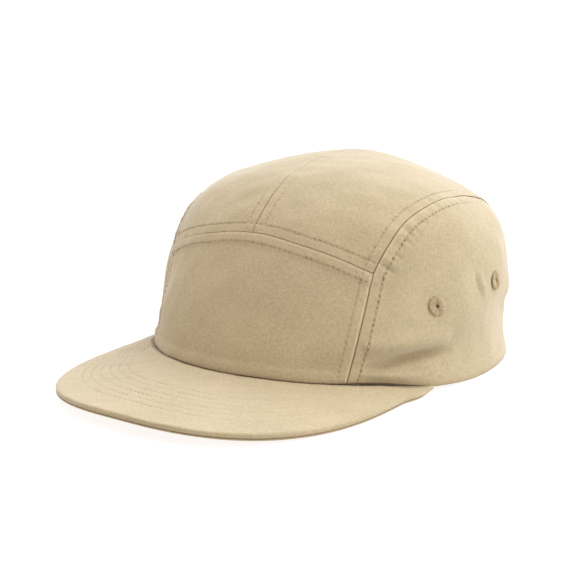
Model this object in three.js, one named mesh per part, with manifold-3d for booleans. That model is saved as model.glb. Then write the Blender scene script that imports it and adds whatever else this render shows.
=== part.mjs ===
// A five panel cap in millimetres, as it rests by itself on its peak and its back rim.
// +Z is up, the peak points to -Y and +X is the wearer's left. The floor is at z = 0.
import * as THREE from "three";
import { mergeVertices } from "three/addons/utils/BufferGeometryUtils.js";
import Module from "manifold-3d";

const wasm = await Module();
wasm.setup();

// Crown sizes
const RIM_HALF_LENGTH = 97.5;
const RIM_HALF_WIDTH = 92;
const CROWN_HEIGHT = 103.5;
const CROWN_LEAN = 12.5; // the highest point lies this far behind the rim's middle
const CLOTH = 2;
const GAP = 0.3; // between pieces that touch

// Peak sizes
const PEAK_LENGTH = 65;
const PEAK_HALF_WIDTH = 82.5;
const PEAK_THICKNESS = 3.2;
const PEAK_DROP = 6.8; // its sides hang this far below its middle
const PEAK_DIP = 1.2; // its front edge lies this far below its root
const PEAK_END_ANGLE = 66;
const PEAK_TUCK = 1; // what of it shows inside the crown
const PEAK_SEAT = 0.4; // how far outside the crown it keeps to the rim's height
const PEAK_END_WIDTH = 0.8; // what is left of it outside that, at each end

// Back opening, strap and clasp sizes
const OPENING_WIDTH = 76;
const OPENING_HEIGHT = 46;
const STRAP_WIDTH = 18;
const STRAP_THICKNESS = 1.6;
const STRAP_LAP = 12; // how far each end reaches behind its panel
const CLASP_LENGTH = 15;
const CLASP_WALL = 1.6;

// Eyelet sizes
const EYELET_WIDTH = 9.6;
const EYELET_HOLE = 2.2;
const EYELET_HEIGHT = 1.1;
const EYELET_SHANK = 4.4;

// The crown is worked out at five angles from the front round to the back, the same on both sides.
// Each column is a share of the size that it follows, or of the rim's height in front.
const COLUMNS = [
  { at: "front", size: RIM_HALF_LENGTH, reach: 0.98, rise: 1 },
  { at: "front corner", size: RIM_HALF_WIDTH, reach: 1.011, rise: 0.68 },
  { at: "side", size: RIM_HALF_WIDTH, reach: 1, rise: 0.1 },
  { at: "back corner", size: RIM_HALF_WIDTH, reach: 1.049, rise: 0.03 },
  { at: "back", size: RIM_HALF_LENGTH, reach: 1.02, rise: 0 },
];

// Sections from the rim, row 0, up to the highest point, row 8: the height as a share of the
// crown's, and the reach from the middle as a share of the rim's in the same column.
const ROWS = [
  { height: 0, front: 1, frontCorner: 1, side: 1, backCorner: 1, back: 1 },
  { height: 0.15, front: 0.95, frontCorner: 0.975, side: 0.976, backCorner: 0.984, back: 1.004 },
  { height: 0.32, front: 0.881, frontCorner: 0.937, side: 0.985, backCorner: 0.989, back: 0.98 },
  { height: 0.5, front: 0.808, frontCorner: 0.888, side: 0.967, backCorner: 0.968, back: 0.939 },
  { height: 0.66, front: 0.73, frontCorner: 0.827, side: 0.917, backCorner: 0.903, back: 0.86 },
  { height: 0.79, front: 0.634, frontCorner: 0.729, side: 0.799, backCorner: 0.764, back: 0.754 },
  { height: 0.89, front: 0.51, frontCorner: 0.566, side: 0.611, backCorner: 0.556, back: 0.6 },
  { height: 0.96, front: 0.317, frontCorner: 0.336, side: 0.361, backCorner: 0.351, back: 0.373 },
  { height: 1, front: 0, frontCorner: 0, side: 0, backCorner: 0, back: 0 },
];
const TOP_ROW = ROWS.length - 1;

// Soft folds: the middle as an angle and a row, half the spread in degrees and rows, the rows it
// climbs in a degree, and the depth as a share of the rim's half width. Negative angles are on
// the wearer's right, and negative depths stand out.
const FOLDS = [
  { angle: 61, row: 0.95, spreadAngle: 19, spreadRow: 0.38, climb: 0.014, depth: 0.03 },
  { angle: 70, row: 1.75, spreadAngle: 20, spreadRow: 0.4, climb: 0.01, depth: -0.013 },
  { angle: 113, row: 1.8, spreadAngle: 15, spreadRow: 0.3, climb: 0.004, depth: 0.019 },
  { angle: 87, row: 2.65, spreadAngle: 4, spreadRow: 0.55, climb: 0, depth: 0.009 },
  { angle: -64, row: 1, spreadAngle: 17, spreadRow: 0.4, climb: -0.012, depth: 0.022 },
  { angle: -110, row: 1.7, spreadAngle: 18, spreadRow: 0.35, climb: -0.004, depth: 0.014 },
];

// Seams as angles and rows. Those of the left side stand for both.
const FRONT_SEAM = [
  { angle: 39.5, row: 0 },
  { angle: 42.2, row: 1.25 },
  { angle: 45.2, row: 2.3 },
  { angle: 47.5, row: 3.12 },
];
const ARCH_SEAM = [
  { angle: 0, row: 4.01 },
  { angle: 20.8, row: 3.81 },
  { angle: 39.2, row: 3.4 },
  { angle: 47.5, row: 3.12 },
];
const SIDE_SEAM = [
  { angle: 47.5, row: 3.12 },
  { angle: 52.5, row: 3.88 },
  { angle: 61.5, row: 4.73 },
  { angle: 78.5, row: 5.25 },
  { angle: 98.8, row: 5.26 },
  { angle: 117.8, row: 4.8 },
  { angle: 135, row: 3.9 },
  { angle: 149, row: 2.85 },
];
const SEAM_END = 0.45; // where the side seam meets the opening's edge, as a share of that edge

// Vent eyelets on each side panel
const EYELETS = [
  { name: "front", angle: 68.8, row: 2.27 },
  { name: "back", angle: 98.8, row: 2.61 },
];

// Facets along each kind of edge
const ARCH_STEPS = 12;
const SIDE_SEAM_STEPS = 26;
const FRONT_SEAM_STEPS = 13;
const STRAP_STEPS = 16;
const CLASP_STEPS = 4;
const PEAK_STEPS = 44;
const PEAK_RINGS = 7;
const ROUND_STEPS = 14;

const radians = THREE.MathUtils.degToRad;
const lerp = THREE.MathUtils.lerp;
const smooth = THREE.MathUtils.smoothstep;

// Natural cubic spline through evenly spaced values
function splineThrough(values) {
  const last = values.length - 1;
  const bend = new Array(last + 1).fill(0);
  const weight = new Array(last + 1).fill(0);
  for (let i = 1; i < last; i++) {
    const turn = values[i - 1] - 2 * values[i] + values[i + 1];
    weight[i] = 1 / (4 - weight[i - 1]);
    bend[i] = (6 * turn - bend[i - 1]) * weight[i];
  }
  for (let i = last - 1; i > 0; i--) bend[i] -= weight[i] * bend[i + 1];
  return (at) => {
    const i = THREE.MathUtils.clamp(Math.floor(at), 0, last - 1);
    const f = at - i;
    const g = 1 - f;
    const bow = (g ** 3 - g) * bend[i] + (f ** 3 - f) * bend[i + 1];
    return g * values[i] + f * values[i + 1] + bow / 6;
  };
}

// A column of the table runs on past the highest point and down the far side, so the top is smooth.
function overTheTop(values, sign) {
  return splineThrough([...values, ...values.slice(0, -1).reverse().map((v) => sign * v)]);
}
const heightAt = overTheTop(ROWS.map((row) => row.height), 1);
const COLUMN_NAMES = ["front", "frontCorner", "side", "backCorner", "back"];
const reachAt = COLUMN_NAMES.map((name, j) => {
  const rimReach = COLUMNS[j].reach * COLUMNS[j].size;
  return overTheTop(ROWS.map((row) => row[name] * rimReach), -1);
});

// Cosine series through the five columns: each column's part in the value at an angle
function blendColumns(values, angle) {
  const last = values.length - 1;
  let sum = 0;
  for (let j = 0; j <= last; j++) {
    for (let k = 0; k <= last; k++) {
      const half = (j % last ? 1 : 0.5) * (k % last ? 1 : 0.5);
      const wave = Math.cos((k * j * Math.PI) / last) * Math.cos(k * angle);
      sum += (2 / last) * half * wave * values[j];
    }
  }
  return sum;
}

// How far the soft folds push the wall in
function foldDepth(angle, row) {
  const degrees = THREE.MathUtils.radToDeg(angle);
  return FOLDS.reduce((depth, fold) => {
    const across = degrees - fold.angle;
    const up = row - fold.row - fold.climb * across;
    const fade = (across / fold.spreadAngle) ** 2 + (up / fold.spreadRow) ** 2;
    return depth + fold.depth * RIM_HALF_WIDTH * Math.exp(-fade);
  }, 0);
}

// The peak's outline: a squared ellipse from the tip to the widest place, then a curve to the rim.
const rimReaches = COLUMNS.map((column) => column.reach * column.size);
const PEAK_SQUARENESS = 2.5;
const PEAK_WIDEST = 0.615 * RIM_HALF_LENGTH; // this far in front of the rim's middle
const CORNER_SHARE = 0.8; // the share of the rim's arc that the squared ellipse takes
function rimPlan(angle, extra = 0) {
  const reach = blendColumns(rimReaches, angle) + extra;
  return new THREE.Vector2(reach * Math.sin(angle), -reach * Math.cos(angle));
}
function peakOutline(share) {
  const side = Math.sign(share) || 1;
  const along = Math.abs(share);
  if (along <= CORNER_SHARE) {
    const turn = (1 - along / CORNER_SHARE) * (Math.PI / 2);
    const power = 2 / PEAK_SQUARENESS;
    const depth = rimReaches[0] + PEAK_LENGTH - PEAK_WIDEST;
    return new THREE.Vector2(
      side * PEAK_HALF_WIDTH * Math.cos(turn) ** power,
      -PEAK_WIDEST - depth * Math.sin(turn) ** power,
    );
  }
  const end = rimPlan(radians(PEAK_END_ANGLE), PEAK_SEAT + PEAK_END_WIDTH);
  const pull = new THREE.Vector2(PEAK_HALF_WIDTH, lerp(-PEAK_WIDEST, end.y, 0.45));
  const corner = new THREE.Vector2(PEAK_HALF_WIDTH, -PEAK_WIDEST);
  const place = (along - CORNER_SHARE) / (1 - CORNER_SHARE);
  const point = new THREE.QuadraticBezierCurve(corner, pull, end).getPoint(place);
  return new THREE.Vector2(side * point.x, point.y);
}

// The peak is a bent board. Its lowest corners lie on the floor, and that sets the rim's height.
function boardBend(plan) {
  const pitch = PEAK_DIP / PEAK_LENGTH;
  return pitch * (plan.y + rimReaches[0]) - PEAK_DROP * (plan.x / PEAK_HALF_WIDTH) ** 2;
}
const peakShares = Array.from({ length: PEAK_STEPS + 1 }, (_, i) => (2 * i) / PEAK_STEPS - 1);
const lowestBend = Math.min(...peakShares.map((share) => boardBend(peakOutline(share))));
const FRONT_RISE = PEAK_THICKNESS - lowestBend;
const rimHeights = COLUMNS.map((column) => column.rise * FRONT_RISE);

// A point of the crown's outer face. Plan is a place on a disc of radius 1 whose edge is the rim
// and whose middle is the highest point.
function rowOf(plan) {
  return TOP_ROW * (1 - plan.length());
}
function crownPoint(plan) {
  const angle = Math.atan2(plan.x, -plan.y);
  const row = rowOf(plan);
  const height = heightAt(row);
  const reaches = reachAt.map((reach) => reach(row));
  const reach = blendColumns(reaches, angle) - foldDepth(angle, row);
  const rim = blendColumns(rimHeights, angle);
  return new THREE.Vector3(
    reach * Math.sin(angle),
    -reach * Math.cos(angle) + CROWN_LEAN * height ** 2,
    lerp(rim, CROWN_HEIGHT, height),
  );
}
function crownNormal(plan) {
  const step = 1e-3;
  const slope = (x, y) => {
    const ahead = crownPoint(new THREE.Vector2(plan.x + x, plan.y + y));
    return ahead.sub(crownPoint(new THREE.Vector2(plan.x - x, plan.y - y)));
  };
  return slope(step, 0).cross(slope(0, step)).normalize();
}
function planAt(degrees, row) {
  const reach = 1 - row / TOP_ROW;
  return new THREE.Vector2(reach * Math.sin(radians(degrees)), -reach * Math.cos(radians(degrees)));
}

// The row at a height above the floor, found by halving
function rowAtHeight(height) {
  let low = 0;
  let high = TOP_ROW;
  for (let i = 0; i < 40; i++) {
    const middle = (low + high) / 2;
    if (heightAt(middle) * CROWN_HEIGHT < height) low = middle;
    else high = middle;
  }
  return low;
}

// Lines on the crown, each as evenly spaced places from its first end to its last
function alongSpline(places, steps) {
  const curve = new THREE.SplineCurve(places);
  curve.arcLengthDivisions = 400;
  return curve.getSpacedPoints(steps);
}
const placesOf = (rows) => rows.map((row) => planAt(row.angle, row.row));
function rimLine(from, to, steps) {
  return Array.from({ length: steps + 1 }, (_, i) => planAt(lerp(from, to, i / steps), 0));
}

// The back opening is an arch. Its share runs from 0 at the left foot to 1 at the top.
const backReach = rimReaches[rimReaches.length - 1];
const openingHalfAngle = THREE.MathUtils.radToDeg(Math.asin(OPENING_WIDTH / 2 / backReach));
const openingTopRow = rowAtHeight(OPENING_HEIGHT);
function openingEdge(share) {
  const turn = (share * Math.PI) / 2;
  return planAt(180 - openingHalfAngle * Math.cos(turn), openingTopRow * Math.sin(turn));
}
function openingLine(from, to, steps) {
  return Array.from({ length: steps + 1 }, (_, i) => openingEdge(lerp(from, to, i / steps)));
}

// Fills the space between four lines of places with a grid of places
function fillBetween({ bottom, top, left, right }) {
  const across = bottom.length - 1;
  const up = left.length - 1;
  return bottom.map((_, i) =>
    left.map((_, j) => {
      const a = i / across;
      const b = j / up;
      const ruled = new THREE.Vector2().lerpVectors(bottom[i], top[i], b);
      ruled.add(new THREE.Vector2().lerpVectors(left[j], right[j], a));
      const low = new THREE.Vector2().lerpVectors(bottom[0], bottom[across], a);
      const high = new THREE.Vector2().lerpVectors(top[0], top[across], a);
      return ruled.sub(low.lerp(high, b));
    }),
  );
}
function mirrorLine(line) {
  return line.map((place) => new THREE.Vector2(-place.x, place.y));
}
function mirrorSides({ bottom, top, left, right }) {
  return {
    bottom: mirrorLine(bottom).reverse(),
    top: mirrorLine(top).reverse(),
    left: mirrorLine(right),
    right: mirrorLine(left),
  };
}

// The way that a panel's edge moves to leave its half of a seam's gap. Where two edges meet, it
// clears both.
function edgeShift(ways) {
  const [first, second] = ways;
  if (!second) return first.way.clone().multiplyScalar(first.inset);
  const shared = first.way.dot(second.way);
  const sum = new THREE.Vector3();
  if (first.inset === second.inset) {
    return sum.addVectors(first.way, second.way).multiplyScalar(first.inset / (1 + shared));
  }
  const spare = 1 - shared ** 2;
  sum.addScaledVector(first.way, (first.inset - shared * second.inset) / spare);
  return sum.addScaledVector(second.way, (second.inset - shared * first.inset) / spare);
}
function insetPoints(points, normals, insets) {
  const across = points.length - 1;
  const up = points[0].length - 1;
  const alongRow = (i, j) =>
    points[Math.min(i + 1, across)][j].clone().sub(points[Math.max(i - 1, 0)][j]);
  const alongColumn = (i, j) =>
    points[i][Math.min(j + 1, up)].clone().sub(points[i][Math.max(j - 1, 0)]);
  return points.map((column, i) =>
    column.map((point, j) => {
      const normal = normals[i][j];
      const rowWay = () => normal.clone().cross(alongRow(i, j)).normalize();
      const columnWay = () => alongColumn(i, j).cross(normal).normalize();
      const ways = [];
      if (j === 0) ways.push({ way: rowWay(), inset: insets.bottom });
      if (j === up) ways.push({ way: rowWay().negate(), inset: insets.top });
      if (i === 0) ways.push({ way: columnWay(), inset: insets.left });
      if (i === across) ways.push({ way: columnWay().negate(), inset: insets.right });
      return ways.length ? point.clone().add(edgeShift(ways)) : point;
    }),
  );
}

// A closed shell between two grids of points, the first one facing out
function closedShell(outer, inner) {
  const across = outer.length;
  const up = outer[0].length;
  const vertices = [...outer.flat(), ...inner.flat()].flatMap((point) => point.toArray());
  const at = (layer, i, j) => layer * across * up + i * up + j;
  const faces = [];
  const quad = (a, b, c, d) => faces.push(a, b, c, a, c, d);
  for (let i = 0; i < across - 1; i++) {
    for (let j = 0; j < up - 1; j++) {
      quad(at(0, i, j), at(0, i + 1, j), at(0, i + 1, j + 1), at(0, i, j + 1));
      quad(at(1, i, j), at(1, i, j + 1), at(1, i + 1, j + 1), at(1, i + 1, j));
    }
  }
  for (let i = 0; i < across - 1; i++) {
    quad(at(1, i, 0), at(1, i + 1, 0), at(0, i + 1, 0), at(0, i, 0));
    quad(at(0, i, up - 1), at(0, i + 1, up - 1), at(1, i + 1, up - 1), at(1, i, up - 1));
  }
  for (let j = 0; j < up - 1; j++) {
    quad(at(0, 0, j), at(0, 0, j + 1), at(1, 0, j + 1), at(1, 0, j));
    quad(at(1, across - 1, j), at(1, across - 1, j + 1), at(0, across - 1, j + 1), at(0, across - 1, j));
  }
  const geometry = new THREE.BufferGeometry();
  geometry.setAttribute("position", new THREE.Float32BufferAttribute(vertices, 3));
  geometry.setIndex(faces);
  return geometry;
}

// Cloth that follows the crown between two depths under its outer face. A rim row stays level.
function crownShell(grid, depths, insets, levelRim = false) {
  const normals = grid.map((column) =>
    column.map((place, j) => {
      const normal = crownNormal(place);
      return levelRim && j === 0 ? normal.setZ(0).normalize() : normal;
    }),
  );
  const face = insetPoints(grid.map((column) => column.map(crownPoint)), normals, insets);
  const layer = (depth) =>
    face.map((column, i) =>
      column.map((point, j) => point.clone().addScaledVector(normals[i][j], -depth)),
    );
  return closedShell(layer(depths.from), layer(depths.to));
}

// Solids for cutting, and back
function solidOf(geometry) {
  const bare = geometry.clone();
  bare.deleteAttribute("normal");
  bare.deleteAttribute("uv");
  const merged = mergeVertices(bare, 1e-4);
  return new wasm.Manifold(
    new wasm.Mesh({
      numProp: 3,
      vertProperties: merged.attributes.position.array,
      triVerts: new Uint32Array(merged.index.array),
    }),
  );
}
function geometryOf(solid) {
  const mesh = solid.getMesh();
  const geometry = new THREE.BufferGeometry();
  geometry.setAttribute("position", new THREE.BufferAttribute(mesh.vertProperties, 3));
  geometry.setIndex(new THREE.BufferAttribute(mesh.triVerts, 1));
  return geometry;
}

// The lines that bound the panels
const frontSeam = alongSpline(placesOf(FRONT_SEAM), FRONT_SEAM_STEPS);
const archSeam = alongSpline(placesOf(ARCH_SEAM), ARCH_STEPS);
const seamEnd = openingEdge(SEAM_END);
const sideSeam = alongSpline([...placesOf(SIDE_SEAM), seamEnd], SIDE_SEAM_STEPS);
const centreSeam = alongSpline([archSeam[0], openingEdge(1)], SIDE_SEAM_STEPS);
const wall = { from: 0, to: CLOTH };

function frontPanel() {
  const foot = FRONT_SEAM[0].angle;
  const sides = {
    bottom: rimLine(-foot, foot, 2 * ARCH_STEPS),
    top: [...mirrorLine(archSeam).reverse(), ...archSeam.slice(1)],
    left: mirrorLine(frontSeam),
    right: frontSeam,
  };
  const insets = { bottom: 0, top: GAP / 2, left: GAP / 2, right: GAP / 2 };
  return crownShell(fillBetween(sides), wall, insets, true);
}

const leftTopSides = {
  bottom: archSeam,
  top: openingLine(1, SEAM_END, ARCH_STEPS),
  left: centreSeam,
  right: sideSeam,
};
function topPanel(sides, outerEdge) {
  const insets = { bottom: GAP / 2, top: 0, left: GAP / 2, right: GAP / 2, [outerEdge]: GAP / 2 };
  return crownShell(fillBetween(sides), wall, insets);
}

const leftSideSides = {
  bottom: rimLine(FRONT_SEAM[0].angle, 180 - openingHalfAngle, SIDE_SEAM_STEPS),
  top: sideSeam,
  left: frontSeam,
  right: openingLine(0, SEAM_END, FRONT_SEAM_STEPS),
};
function eyeletFrame(eyelet, side) {
  const place = planAt(side * eyelet.angle, eyelet.row);
  const turn = new THREE.Quaternion();
  turn.setFromUnitVectors(new THREE.Vector3(0, 1, 0), crownNormal(place));
  return { position: crownPoint(place), turn };
}
function eyeletDrill(frame) {
  const radius = EYELET_SHANK / 2 + GAP;
  const drill = new THREE.CylinderGeometry(radius, radius, 6 * CLOTH, ROUND_STEPS);
  drill.applyQuaternion(frame.turn).translate(...frame.position.toArray());
  return solidOf(drill);
}
function sidePanel(sides, openEdge, side) {
  const insets = { bottom: 0, top: GAP / 2, left: GAP / 2, right: GAP / 2, [openEdge]: 0 };
  const cloth = solidOf(crownShell(fillBetween(sides), wall, insets, true));
  const drills = EYELETS.map((eyelet) => eyeletDrill(eyeletFrame(eyelet, side)));
  return geometryOf(drills.reduce((left, drill) => left.subtract(drill), cloth));
}

// An eyelet: a domed ring outside, a shank through the hole and a flat ring inside
function eyeletRing() {
  const outside = EYELET_WIDTH / 2;
  const hole = EYELET_HOLE / 2;
  const shank = EYELET_SHANK / 2;
  const inside = 0.85 * outside;
  const back = CLOTH + GAP;
  const profile = [
    [hole, EYELET_HEIGHT * 0.6],
    [hole, -back - EYELET_HEIGHT / 2],
    [inside, -back - EYELET_HEIGHT / 2],
    [inside, -back],
    [shank, -back],
    [shank, GAP],
    [outside, GAP],
    [outside * 0.92, EYELET_HEIGHT * 0.7],
    [(outside + hole) / 2, EYELET_HEIGHT],
    [hole, EYELET_HEIGHT * 0.6],
  ];
  const points = profile.map(([radius, height]) => new THREE.Vector2(radius, height));
  return new THREE.LatheGeometry(points, ROUND_STEPS);
}

// The peak: a board that tucks under the front of the crown and thins towards its two ends
function peakThickness(share) {
  return PEAK_THICKNESS * (1 - 0.55 * smooth(Math.abs(share), CORNER_SHARE, 1));
}
function peakSection(share) {
  const angle = radians(PEAK_END_ANGLE * share);
  const root = rimPlan(angle, PEAK_SEAT);
  const seat = blendColumns(rimHeights, angle) - GAP;
  const lift = seat - FRONT_RISE - boardBend(root);
  const outline = peakOutline(share);
  const stations = [{ plan: rimPlan(angle, -CLOTH - PEAK_TUCK), top: seat }];
  for (let i = 0; i <= PEAK_RINGS; i++) {
    const out = i / PEAK_RINGS;
    const plan = root.clone().lerp(outline, out);
    stations.push({ plan, top: FRONT_RISE + boardBend(plan) + lift * (1 - out) ** 2 });
  }
  return stations;
}
function peakBoard() {
  const sections = peakShares.map(peakSection);
  const layer = (drop) =>
    sections.map((section, i) =>
      section
        .map(({ plan, top }) => new THREE.Vector3(plan.x, plan.y, top - drop * peakThickness(peakShares[i])))
        .reverse(),
    );
  return closedShell(layer(0), layer(1));
}

// The strap runs across the opening, inside the panels, and its clasp is a loop round it.
const strapFoot = CLASP_WALL + 2 * GAP;
const strapDepth = CLOTH + GAP;
function bandShell(halfLength, heights, depths, steps) {
  const halfAngle = THREE.MathUtils.radToDeg(halfLength / backReach);
  const line = (height) => {
    const row = rowAtHeight(height);
    return Array.from({ length: steps + 1 }, (_, i) =>
      planAt(lerp(180 - halfAngle, 180 + halfAngle, i / steps), row),
    );
  };
  const [low, high] = [line(heights.from), line(heights.to)];
  const grid = low.map((place, i) => [place, place.clone().lerp(high[i], 0.5), high[i]]);
  return crownShell(grid, depths, { bottom: 0, top: 0, left: 0, right: 0 });
}
function sizeStrap() {
  const openingArc = backReach * radians(openingHalfAngle);
  const heights = { from: strapFoot, to: strapFoot + STRAP_WIDTH };
  const depths = { from: strapDepth, to: strapDepth + STRAP_THICKNESS };
  return bandShell(openingArc + STRAP_LAP, heights, depths, STRAP_STEPS);
}
function strapClasp() {
  const block = (halfLength, room) => {
    const heights = { from: strapFoot - room, to: strapFoot + STRAP_WIDTH + room };
    const depths = { from: strapDepth - room, to: strapDepth + STRAP_THICKNESS + room };
    return solidOf(bandShell(halfLength, heights, depths, CLASP_STEPS));
  };
  return geometryOf(block(CLASP_LENGTH / 2, GAP + CLASP_WALL).subtract(block(CLASP_LENGTH, GAP)));
}

// Materials
const twill = () => new THREE.MeshStandardMaterial({ color: "#cbb892", roughness: 0.9, metalness: 0 });
const thread = () => new THREE.MeshStandardMaterial({ color: "#b9a47c", roughness: 0.8, metalness: 0 });
const brass = () => new THREE.MeshStandardMaterial({ color: "#8d7a55", roughness: 0.4, metalness: 1 });

// The cap stands with the middle of its box over the origin.
const cap = new THREE.Group();
cap.position.y = (rimReaches[0] + PEAK_LENGTH - backReach) / 2;
function addPiece(name, geometry, material) {
  const mesh = new THREE.Mesh(geometry, material);
  mesh.name = name;
  cap.add(mesh);
  return mesh;
}
addPiece("front_panel", frontPanel(), twill());
addPiece("top_panel_left", topPanel(leftTopSides, "right"), twill());
addPiece("top_panel_right", topPanel(mirrorSides(leftTopSides), "left"), twill());
addPiece("side_panel_left", sidePanel(leftSideSides, "right", 1), twill());
addPiece("side_panel_right", sidePanel(mirrorSides(leftSideSides), "left", -1), twill());
addPiece("peak", peakBoard(), twill());
for (const [sideName, side] of [["left", 1], ["right", -1]]) {
  for (const eyelet of EYELETS) {
    const ring = addPiece("eyelet_" + sideName + "_" + eyelet.name, eyeletRing(), thread());
    const frame = eyeletFrame(eyelet, side);
    ring.position.copy(frame.position);
    ring.quaternion.copy(frame.turn);
  }
}
addPiece("size_strap", sizeStrap(), twill());
addPiece("strap_clasp", strapClasp(), brass());

const group = new THREE.Group();
group.add(cap);
export default group;
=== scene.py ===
# A five panel cap of khaki cotton twill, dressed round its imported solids.
# Shapes are worked out in millimetres round the middle of the crown, and stored in metres.
import math

import bpy
import numpy as np
from mathutils import Matrix, Vector


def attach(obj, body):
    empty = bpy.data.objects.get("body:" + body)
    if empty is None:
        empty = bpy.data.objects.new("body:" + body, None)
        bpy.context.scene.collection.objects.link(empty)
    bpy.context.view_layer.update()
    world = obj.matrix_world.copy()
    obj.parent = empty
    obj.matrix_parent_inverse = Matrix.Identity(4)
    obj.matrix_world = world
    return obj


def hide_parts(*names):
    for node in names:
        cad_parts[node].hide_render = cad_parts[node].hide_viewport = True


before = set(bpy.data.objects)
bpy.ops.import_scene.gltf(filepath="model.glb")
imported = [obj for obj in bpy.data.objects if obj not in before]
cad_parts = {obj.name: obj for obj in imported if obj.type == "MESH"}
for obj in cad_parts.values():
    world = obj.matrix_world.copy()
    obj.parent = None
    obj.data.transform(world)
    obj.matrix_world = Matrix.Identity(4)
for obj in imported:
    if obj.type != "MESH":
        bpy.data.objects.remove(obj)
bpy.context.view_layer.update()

# Sizes of the solids
RIM_HALF_LENGTH = 97.5
RIM_HALF_WIDTH = 92.0
CROWN_HEIGHT = 103.5
CROWN_LEAN = 12.5
CLOTH = 2.0
GAP = 0.3
PEAK_LENGTH = 65.0
PEAK_HALF_WIDTH = 82.5
PEAK_THICKNESS = 3.2
PEAK_DROP = 6.8
PEAK_DIP = 1.2
PEAK_END_ANGLE = 66.0
PEAK_TUCK = 1.0
PEAK_SEAT = 0.4
PEAK_END_WIDTH = 0.8
PEAK_POWER = 0.8
PEAK_WIDEST = 0.615 * RIM_HALF_LENGTH
CORNER_SHARE = 0.8
OPENING_WIDTH = 76.0
OPENING_HEIGHT = 46.0
STRAP_WIDTH = 18.0
STRAP_THICKNESS = 1.6
STRAP_LAP = 12.0
CLASP_LENGTH = 15.0
CLASP_WALL = 1.6
EYELET_SHANK = 4.4

# The crown's reach from its middle, at five angles from the front round to the back
COLUMN_REACH = np.array([
    0.98 * RIM_HALF_LENGTH, 1.011 * RIM_HALF_WIDTH, RIM_HALF_WIDTH,
    1.049 * RIM_HALF_WIDTH, 1.02 * RIM_HALF_LENGTH,
])
COLUMN_RISE = np.array([1, 0.68, 0.1, 0.03, 0])
# Rows from the rim up to the highest point: the height's share, then the five reaches' shares
ROWS = np.array([
    [0, 1, 1, 1, 1, 1],
    [0.15, 0.95, 0.975, 0.976, 0.984, 1.004],
    [0.32, 0.881, 0.937, 0.985, 0.989, 0.98],
    [0.5, 0.808, 0.888, 0.967, 0.968, 0.939],
    [0.66, 0.73, 0.827, 0.917, 0.903, 0.86],
    [0.79, 0.634, 0.729, 0.799, 0.764, 0.754],
    [0.89, 0.51, 0.566, 0.611, 0.556, 0.6],
    [0.96, 0.317, 0.336, 0.361, 0.351, 0.373],
    [1, 0, 0, 0, 0, 0],
])
TOP_ROW = len(ROWS) - 1
# Soft folds: angle, row, spread in degrees, spread in rows, climb, depth as a share
FOLDS = [
    (61, 0.95, 19, 0.38, 0.014, 0.03),
    (70, 1.75, 20, 0.4, 0.01, -0.013),
    (113, 1.8, 15, 0.3, 0.004, 0.019),
    (87, 2.65, 4, 0.55, 0, 0.009),
    (-64, 1, 17, 0.4, -0.012, 0.022),
    (-110, 1.7, 18, 0.35, -0.004, 0.014),
]
# Gentle dents and swells besides those folds: angle, row, radius and height in mm
SHAPING = [
    (-43, 0.7, 12, -1.3), (-51, 1.4, 13, -2.0), (-57, 2.5, 15, -0.6), (-66, 4.95, 13, -1.6),
    (-78, 6.5, 17, -1.1), (150, 6.5, 16, -1.0), (133, 5.3, 16, -0.7), (121, 3.4, 16, 0.4),
    (116, 2.0, 8, 1.5), (121, 0.7, 12, 0.4), (38.5, 1.6, 15, 1.2),
]
# Seams of the left side, as angles and rows
FRONT_SEAM = [(39.5, 0), (42.2, 1.25), (45.2, 2.3), (47.5, 3.12)]
ARCH_SEAM = [(0, 4.01), (20.8, 3.81), (39.2, 3.4), (47.5, 3.12)]
SIDE_SEAM = [(47.5, 3.12), (52.5, 3.88), (61.5, 4.73), (78.5, 5.25), (98.8, 5.26),
             (117.8, 4.8), (135, 3.9), (149, 2.85)]
SEAM_END = 0.45  # the side seam meets the opening at this share of its edge
EYELETS = [("front", 68.8, 2.27), ("back", 98.8, 2.61)]
SIDES = [("left", 1), ("right", -1)]

# Sewing
OFFSET = {"seam": 5.0, "hem": 5.5}  # from a seam or a hem to the row of stitches beside it
SHOULDER = {"seam": 0.35, "hem": 0.9, "rim": 0.55}  # radius of a turned edge
STITCH_PITCH = 2.75
STITCH_GAP = 0.8  # between one stitch and the next
THREAD_RADIUS = 0.2
SEAM_LINE = 0.32  # half the width of the painted shade line where two panels meet
RIM_SHADE = 0.5  # how dark the painted shade on the cloth just above the rim is
RIM_SHADE_WIDTH = 1.6
RIM_STANDS = 0.25  # how far the rim's doubled cloth stands out
RIM_FOLD_END = (4.5, 8)  # from the rim, where it ends
ROW_WIDTH = 0.55  # half the width of the furrow that a row of stitches lies in
HIGHLIGHT_STRIP = (0.85, 0.4)  # from a line to the middle of the painted highlight strip beside it, and its half width
PUCKER_STRIP = (3.2, 3.4)  # the same for the puckered strip
LINE_END = 0.4  # a line's sewing runs on this far past its ends
FAR = 99.0  # beside no row of stitches
# How each panel is sewn along each kind of edge. Columns: how far the doubled cloth stands out and
# how dark the painted shade in the needle holes is, both near the start of the line and further along;
# how deep the row of stitches pulls the cloth in; how much the cloth puckers; how bright the painted
# highlight on the turned edge is
SEWING = {
    ("front", "arch"): ((0.55, 0.55), (0.9, 0.9), 0.18, 0.06, 0.65),
    ("front", "front"): ((0.15, 0.15), (0.4, 0.4), 0.14, 0.06, 0.8),
    ("top", "arch"): ((0.08, 0.08), (0.85, 0.85), 0.18, 0.06, 0),
    ("top", "centre"): ((0.1, 0.06), (0.36, 0.12), 0.1, 0.05, 0),
    ("top", "side"): ((0.08, 0.45), (0.5, 0.2), 0.12, 0.07, 0),
    ("top", "hem"): ((0.25, 0.25), (0.7, 0.7), 0.2, 0.08, 0.4),
    ("side", "front"): ((0.3, 0.3), (1.25, 1.25), 0.26, 0.1, 0),
    ("side", "side"): ((0.36, 0), (1.15, 0.25), 0.26, 0.16, 0.5),
    ("side", "hem"): ((0.25, 0.25), (0.7, 0.7), 0.2, 0.08, 0.4),
}
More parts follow.
